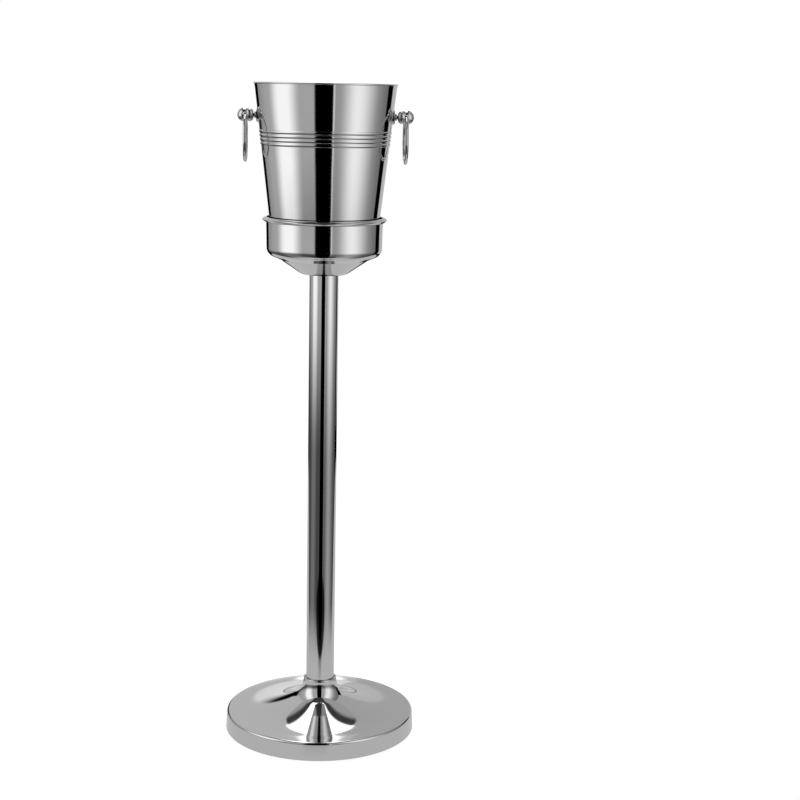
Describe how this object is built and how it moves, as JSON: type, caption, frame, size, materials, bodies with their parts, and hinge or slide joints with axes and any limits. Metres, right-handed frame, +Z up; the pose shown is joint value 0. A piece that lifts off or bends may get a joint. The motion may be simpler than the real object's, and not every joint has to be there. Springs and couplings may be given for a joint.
{
  "type": "champagne bucket stand",
  "caption": "Floor-standing polished steel wine cooler: a weighted round base and tube pole carry a cradle cup that holds a tapered lift-out ice bucket with ring handles.",
  "frame": {"origin": "on the floor, at the centre of the base", "axes": "+Z up along the pole; the ring handles hang towards -X and +X"},
  "size_m": [0.27, 0.27, 0.915],
  "materials": {
    "polished_steel": "mirror-polished stainless steel",
    "cast_iron": "rough casting, painted",
    "zinc_plated_steel": "zinc plated",
    "black_rubber": "matt",
    "clear_silicone": "soft, milky"
  },
  "bodies": {
    "stand": {"base_cover": "polished_steel", "base_weight": "cast_iron", "base_plate": "zinc_plated_steel", "plate_screws": "zinc_plated_steel", "floor_ring": "black_rubber", "base_washer": "zinc_plated_steel", "base_bolt": "zinc_plated_steel", "pole_tube": "polished_steel", "lower_plug": "zinc_plated_steel", "upper_plug": "zinc_plated_steel", "support_dish": "polished_steel", "cradle_cup": "polished_steel", "cup_washer": "zinc_plated_steel", "cup_screw": "zinc_plated_steel"},
    "bucket": {"bucket_body": "polished_steel", "rosette_left": "polished_steel", "seal_left": "clear_silicone", "knob_screw_left": "zinc_plated_steel", "knob_left": "polished_steel", "rosette_right": "polished_steel", "seal_right": "clear_silicone", "knob_screw_right": "zinc_plated_steel", "knob_right": "polished_steel"},
    "ring_left": {"ring_left": "polished_steel"},
    "ring_right": {"ring_right": "polished_steel"}
  },
  "joints": [
    {"name": "bucket_lift", "type": "slide", "parent": "stand", "child": "bucket", "axis": [0, 0, 1], "range_m": [0, 0.12]},
    {"name": "ring_left_swing", "type": "hinge", "parent": "bucket", "child": "ring_left", "pos_m": [-0.10881, 0, 0.8713], "axis": [0, 1, 0], "range_deg": [-20, 193]},
    {"name": "ring_right_swing", "type": "hinge", "parent": "bucket", "child": "ring_right", "pos_m": [0.10881, 0, 0.8713], "axis": [0, -1, 0], "range_deg": [-20, 193]}
  ]
}
